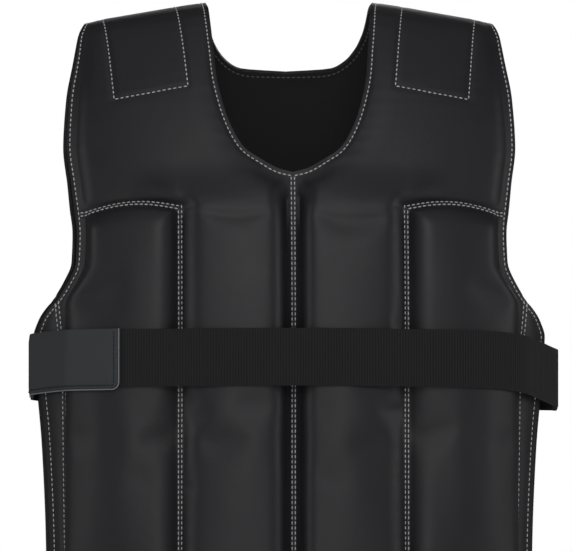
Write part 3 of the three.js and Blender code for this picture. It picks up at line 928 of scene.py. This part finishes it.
panels = {}
for side, label in ((FRONT, "front"), (BACK, "back")):
    for hand, hand_label in ((LEFT, "left"), (RIGHT, "right")):
        for pocket, part in ((False, "chest"), (True, "pocket")):
            node = f"{label}_{part}_{hand_label}"
            panels[node] = make_panel(side, hand, pocket, node)
fill_panels(list(panels.values()))
for node, panel in panels.items():
    finish_panel(panel, FRONT if node.startswith("front") else BACK, node)


# Lining: both halves as flat sheets, joined at the middle under the neck and given a thickness
def make_lining(side, name):
    walks = panel_rows(side)
    halves = []
    for hand in (LEFT, RIGHT):
        half = new_grid(name, LAST_COLUMN, len(walks) - 1)
        column, row = get_attribute(half, "column"), get_attribute(half, "row")
        x = hand * offset_at(side, column, walks[row])
        lay_grid(half, side, x, walks[row], row, -LINING_GAP)
        halves.append(half)
    only(halves[0])
    halves[1].select_set(True)
    bpy.ops.object.join()
    lining = bpy.context.object
    lining.name = name
    set_mode("EDIT")
    bpy.ops.mesh.select_all(action="SELECT")
    bpy.ops.mesh.remove_doubles(threshold=0.05 * MM)
    bpy.ops.mesh.normals_make_consistent(inside=False)
    set_mode("OBJECT")
    middle_face = lining.data.polygons[len(lining.data.polygons) // 2]
    outwards = Vector((0, side, 0)).dot(middle_face.normal) > 0
    add_modifier(lining, "SOLIDIFY", thickness=LINING_THICKNESS * MM, offset=-1 if outwards else 1)
    face_outwards(lining)
    set_map(lining, get_attribute(lining, "x", float) * MM, get_attribute(lining, "walk", float) * MM)
    finish(lining, LINING_CLOTH, [name])


make_lining(FRONT, "lining_front")
make_lining(BACK, "lining_back")


# Belt: it lies tight round the fullest outline of the vest between its highest and lowest edge
def belt_reaches(directions=720):
    """Directions seen from above, and how far out in each of them the belt lies."""
    points = []
    for panel in panels.values():
        places = get_points(panel) / MM
        level = (places[:, 2] < -BELT_DROP) & (places[:, 2] > -BELT_DROP - BELT_WIDTH - BELT_DROOP)
        points.append(places[level])
    points = np.concatenate(points)
    angle = np.linspace(0, 2 * np.pi, directions, endpoint=False)
    away = np.stack([np.sin(angle), -np.cos(angle)], axis=1)
    reach = (away @ points[:, :2].T).max(axis=1)
    return away, reach + BELT_GAP + BELT_EASE_LEFT * np.clip(away[:, 0], 0, 1) ** BELT_EASE_POWER


BELT_AWAY, BELT_REACH = belt_reaches()


def belt_points(turn, lift, height):
    """Points in millimetres on the belt's path at turns in degrees from the front centre."""
    around = np.radians(turn)
    ray = unit(np.stack([CHEST_HALF_WIDTH * np.sin(around), -BODY_HALF_DEPTH * np.cos(around)], axis=-1))
    lean = ray @ BELT_AWAY.T
    reach = np.where(lean > 0.05, (BELT_REACH + np.asarray(lift)[..., None]) / np.maximum(lean, 0.05), np.inf)
    radius = reach.min(axis=-1)
    sag = BELT_DROOP * belt_sag((np.asarray(turn) + 90) % 360 - 90)
    level = height - BELT_DROP - BELT_WIDTH / 2 - sag
    return np.stack([ray[..., 0] * radius, ray[..., 1] * radius, level], axis=-1)


def even_turns(start, end, size):
    """Turns from start to end whose points lie about a size apart, and how far along each lies."""
    fine = np.linspace(start, end, 2000)
    length = lengths_along(belt_points(fine, 0, 0))
    steps = max(2, int(round(length[-1] / size)))
    along = np.linspace(0, length[-1], steps + 1)
    return np.interp(along, length, fine), along


# The belt's ends meet under the tab, with a gap in degrees
BELT_JOIN_TURN = -(TAB_FRONT_TURN + TAB_SIDE_TURN) / 2
JOIN_GAP = 0.1
# Rows across the belt as shares of its half width, and where its plain selvage begins
BELT_ROWS = [-1, -0.985, -0.96, -0.6, -0.2, 0.2, 0.6, 0.96, 0.985, 1]
SELVAGE = 0.97


def make_belt():
    turns, along = even_turns(BELT_JOIN_TURN + JOIN_GAP, BELT_JOIN_TURN + 360 - JOIN_GAP, RIB_PITCH / 4)
    heights = BELT_WIDTH / 2 * np.array(BELT_ROWS)
    belt = new_grid("belt", len(turns) - 1, len(heights) - 1)
    give_back(belt)
    column, row, inside = grid_places(belt)
    height = -heights[row]
    rib = 0.5 + 0.5 * np.cos(2 * np.pi * along[column] / RIB_PITCH)
    selvage = np.abs(height) > SELVAGE * BELT_WIDTH / 2
    lift = np.where(inside == 1, 0, BELT_THICKNESS - np.where(selvage, SELVAGE_DEPTH, RIB_DEPTH * (1 - rib)))
    set_points(belt, belt_points(turns[column], lift, height) * MM)
    set_map(belt, along[column] * MM, height * MM)
    face_outwards(belt)
    finish(belt, ELASTIC, ["belt"])


make_belt()


TAB_NEAR = BELT_THICKNESS + SEAM_GAP
TAB_HALF_HEIGHT = BELT_WIDTH / 2 + TAB_OVERHANG
TAB_CELL = 2.0
TAB_ROWS = 28
# The groove of the tab's stitches
TAB_GROOVE_DEPTH = 0.5
TAB_GROOVE_INSET = 3
TAB_GROOVE_WIDTH = 0.9


def make_tab():
    turns, along = even_turns(-TAB_FRONT_TURN, -TAB_SIDE_TURN, TAB_CELL)
    heights = np.linspace(1, 0, TAB_ROWS)
    tab = new_grid("belt_tab", len(turns) - 1, len(heights) - 1)
    give_back(tab)
    column, row, inside = grid_places(tab)
    back = np.clip(TAB_CORNER - along[column], 0, TAB_CORNER)
    rise = TAB_CORNER - np.sqrt(np.maximum(TAB_CORNER ** 2 - back ** 2, 0))
    low = -TAB_HALF_HEIGHT + rise
    height = mix(low, TAB_HALF_HEIGHT, heights[row])
    from_end = np.minimum(along[column], along[-1] - along[column])
    edge = np.minimum.reduce([height - low, TAB_HALF_HEIGHT - height, from_end])
    crown = TAB_CROWN * np.sin(np.pi / 2 * np.clip(edge / TAB_CROWN_WIDTH, 0, 1))
    groove = TAB_GROOVE_DEPTH * np.exp(-((edge - TAB_GROOVE_INSET) / TAB_GROOVE_WIDTH) ** 2)
    lift = np.where(inside == 1, TAB_NEAR, TAB_NEAR + TAB_THICKNESS - TAB_CROWN + (crown - groove))
    set_points(tab, belt_points(turns[column], lift, height) * MM)
    face_outwards(tab)
    add_modifier(
        tab, "BEVEL", width=TAB_EDGE_ROUNDING * MM, segments=2, limit_method="ANGLE", angle_limit=SHARP_ANGLE,
    )
    finish(tab, GREY_LEATHER, ["belt_tab"])


def tab_edge(inset):
    """Turns and heights along the tab's lower edge, corner and front edge, at an inset from them."""
    turns, lengths = even_turns(-TAB_FRONT_TURN, -TAB_SIDE_TURN, TAB_CELL)
    radius = TAB_CORNER - inset
    angle = np.radians(np.linspace(0, 90, 10))
    corner_along = TAB_CORNER - radius * np.sin(angle)
    corner_height = -TAB_HALF_HEIGHT + TAB_CORNER - radius * np.cos(angle)
    lower_along = np.linspace(lengths[-1] - max(inset, 0), TAB_CORNER, 40, endpoint=False)
    lower_height = np.full(len(lower_along), -TAB_HALF_HEIGHT + inset)
    upper_height = np.linspace(corner_height[-1], TAB_HALF_HEIGHT - max(inset, 0), 14)[1:]
    upper_along = np.full(len(upper_height), inset)
    along = np.concatenate([lower_along, corner_along, upper_along])
    height = np.concatenate([lower_height, corner_height, upper_height])
    turn_per_mm = (turns[1] - turns[0]) / (lengths[1] - lengths[0])
    return np.interp(along, lengths, turns) + np.minimum(along, 0) * turn_per_mm, height


def make_piping():
    turns, heights = tab_edge(-PIPING_RADIUS - SEAM_GAP)
    path = belt_points(turns, TAB_NEAR + TAB_THICKNESS / 2, heights) * MM
    curve = bpy.data.curves.new("tab_piping", "CURVE")
    curve.dimensions = "3D"
    curve.bevel_depth = PIPING_RADIUS * MM
    curve.bevel_resolution = 3
    curve.use_fill_caps = True
    spline = curve.splines.new("POLY")
    spline.points.add(len(path) - 1)
    for point, place in zip(spline.points, path):
        point.co = (*place, 1)
    only(add_object("tab_piping", curve))
    bpy.ops.object.convert(target="MESH")
    finish(bpy.context.object, PIPING, ["tab_piping"])


make_tab()
make_piping()


# Stitches: one is modelled, and copies of it are laid along every seam line
def model_stitch():
    """Points and faces of one stitch, a flat grain along X."""
    bpy.ops.mesh.primitive_uv_sphere_add(segments=6, ring_count=5, radius=0.5)
    stitch = bpy.context.object
    set_mode("EDIT")
    bpy.ops.transform.rotate(value=math.pi / 2, orient_axis="Y", center_override=(0, 0, 0))
    size = (STITCH_LENGTH * MM, STITCH_WIDTH * MM, STITCH_HEIGHT * MM)
    bpy.ops.transform.resize(value=size, center_override=(0, 0, 0))
    set_mode("OBJECT")
    points = get_points(stitch)
    faces = [tuple(face.vertices) for face in stitch.data.polygons]
    bpy.data.objects.remove(stitch)
    return points, faces


def resampled(line, size=2.5):
    """The same line with points a size apart."""
    length = lengths_along(line)
    at = np.linspace(0, length[-1], max(2, math.ceil(length[-1] / size)))
    return np.stack([np.interp(at, length, line[:, k]) for k in range(2)], axis=1)


# Rays that find the leather start off the body and go back past its surface
RAY_START = 40
RAY_LENGTH = 60


def lay_on_panels(side, line, trees):
    """Places and normals in metres where a line of the cloth lies on the finished leather."""
    line = resampled(line)
    base = body_point(side, line[:, 0], line[:, 1]) * MM
    away = body_normal(side, line[:, 0], line[:, 1])
    places, normals = [], []
    for point, normal in zip(base, away):
        start = Vector(point + normal * RAY_START * MM)
        hits = [tree.ray_cast(start, Vector(-normal), RAY_LENGTH * MM) for tree in trees]
        hits = [hit for hit in hits if hit[0] is not None]
        if hits:
            near = min(hits, key=lambda hit: hit[3])
            places.append(np.array(near[0]))
            normals.append(np.array(near[1]))
    return np.array(places), np.array(normals)


def stitch_frames(places, normals, pitch=STITCH_PITCH):
    """Middle, direction, side and normal of each stitch along a laid line."""
    length = lengths_along(places)
    count = max(1, int(length[-1] / (pitch * MM)))
    at = (np.arange(count) + 0.5) * length[-1] / count

    def pick(values, where):
        return np.stack([np.interp(where, length, values[:, k]) for k in range(3)], axis=1)

    middle = pick(places, at)
    along = unit(pick(places, at + 0.8 * MM) - pick(places, at - 0.8 * MM), TINY)
    normal = pick(normals, at)
    normal = unit(normal - along * (normal * along).sum(axis=1, keepdims=True), TINY)
    return middle, along, np.cross(normal, along), normal


def make_stitches(name, frames, material):
    """All stitches of one thread as a single piece."""
    shape, faces = model_stitch()
    all_points, all_faces = [], []
    for middle, along, aside, normal in frames:
        for k in range(len(middle)):
            first = len(all_points) * len(shape)
            all_points.append(
                middle[k] + normal[k] * STITCH_LIFT * MM
                + shape[:, :1] * along[k] + shape[:, 1:2] * aside[k] + shape[:, 2:] * normal[k]
            )
            all_faces += [tuple(first + index for index in face) for face in faces]
    mesh = bpy.data.meshes.new(name)
    mesh.from_pydata(np.concatenate(all_points).tolist(), [], all_faces)
    stitches = add_object(name, mesh)
    face_outwards(stitches)
    finish(stitches, material)


for side, label in ((FRONT, "front"), (BACK, "back")):
    graph = bpy.context.evaluated_depsgraph_get()
    trees = [BVHTree.FromObject(obj, graph) for node, obj in panels.items() if node.startswith(label)]
    frames = []
    for line in half_lines(side):
        for hand in (LEFT, RIGHT):
            places, normals = lay_on_panels(side, line * np.array([hand, 1]), trees)
            if len(places) > 3:
                frames.append(stitch_frames(places, normals))
    make_stitches(f"{label}_stitches", frames, THREAD)


# The back neckline's stitches show on the lining too, in the light thread darkened as painted shade
def make_lining_stitches():
    half = shifted(neckline_walks(BACK)[4:], -NECK_STITCH)
    line = np.concatenate([half, (half * [-1, 1])[::-1]])
    places = lifted(BACK, line[:, 0], line[:, 1], -LINING_GAP - LINING_THICKNESS)
    normals = -body_normal(BACK, line[:, 0], line[:, 1])
    make_stitches("lining_stitches", [stitch_frames(places, normals)], SHADED_THREAD)


make_lining_stitches()


# The tab's own stitches are black and lie in its groove, a little under the crown
TAB_STITCH_SINK = 0.35


def make_tab_stitches():
    turns, heights = tab_edge(TAB_STITCH)
    top = TAB_NEAR + TAB_THICKNESS
    places = belt_points(turns, top - TAB_STITCH_SINK, heights) * MM
    outer = belt_points(turns, top + 5, heights) * MM
    frames = stitch_frames(places, unit(outer - places), TAB_STITCH_PITCH)
    make_stitches("tab_stitches", [frames], DARK_THREAD)


make_tab_stitches()


# Floor and light, in metres
FLOOR_RADIUS = 2.5
FLOOR_HEIGHT = -0.8
LIGHT_AIM = Vector((0, 0, -0.28))
# Area lights: name, place, width and height, power in watts
LIGHTS = [
    ("key", (0.05, -2.6, 0.9), (1.1, 0.9), 15),
    ("high front", (0, -1.7, 1.9), (1.6, 0.8), 2.5),
    ("fill", (-0.2, -2.7, -0.5), (1.2, 1.0), 9.3),
    ("side, wearer's left", (2.7, -0.75, 0.1), (0.6, 1.2), 11),
    ("side, wearer's right", (-2.7, -0.75, 0.1), (0.6, 1.2), 10),
    ("top", (0, -0.3, 1.7), (1.6, 0.9), 2.5),
    ("behind", (0.4, 2.0, 0.6), (1.6, 1.2), 12),
]
# The world is white behind the vest, and lights it only faintly
AMBIENT = 0.07


def make_floor():
    bpy.ops.mesh.primitive_circle_add(
        vertices=96, radius=FLOOR_RADIUS, fill_type="NGON", location=(0, 0, FLOOR_HEIGHT),
    )
    floor = bpy.context.object
    floor.name = "floor"
    material, tree, shader = new_material("studio floor, pale matt")
    set_inputs(tree, shader, {"Base Color": linear("e8e8e6"), "Roughness": 0.9})
    floor.data.materials.append(material)


def add_light(name, place, size, power):
    data = bpy.data.lights.new(name, "AREA")
    data.shape = "RECTANGLE"
    data.size, data.size_y = size
    data.energy = power
    light = add_object(name, data)
    light.location = place
    light.rotation_euler = (LIGHT_AIM - Vector(place)).to_track_quat("-Z", "Y").to_euler()


def make_world():
    world = bpy.data.worlds.new("studio")
    bpy.context.scene.world = world
    world.use_nodes = True
    tree = world.node_tree
    tree.nodes.clear()
    rays = add_node(tree, "LightPath")
    white = linear("ffffff")
    ambient = add_node(tree, "Background", None, {"Color": white, "Strength": AMBIENT})
    seen = add_node(tree, "Background", None, {"Color": white})
    both = add_node(tree, "MixShader", None, {
        0: rays.outputs["Is Camera Ray"], 1: ambient.outputs[0], 2: seen.outputs[0],
    })
    add_node(tree, "OutputWorld", None, {"Surface": both.outputs[0]})


make_floor()
make_world()
for name, place, size, power in LIGHTS:
    add_light(name, place, size, power)
bpy.context.scene.view_settings.view_transform = "Standard"
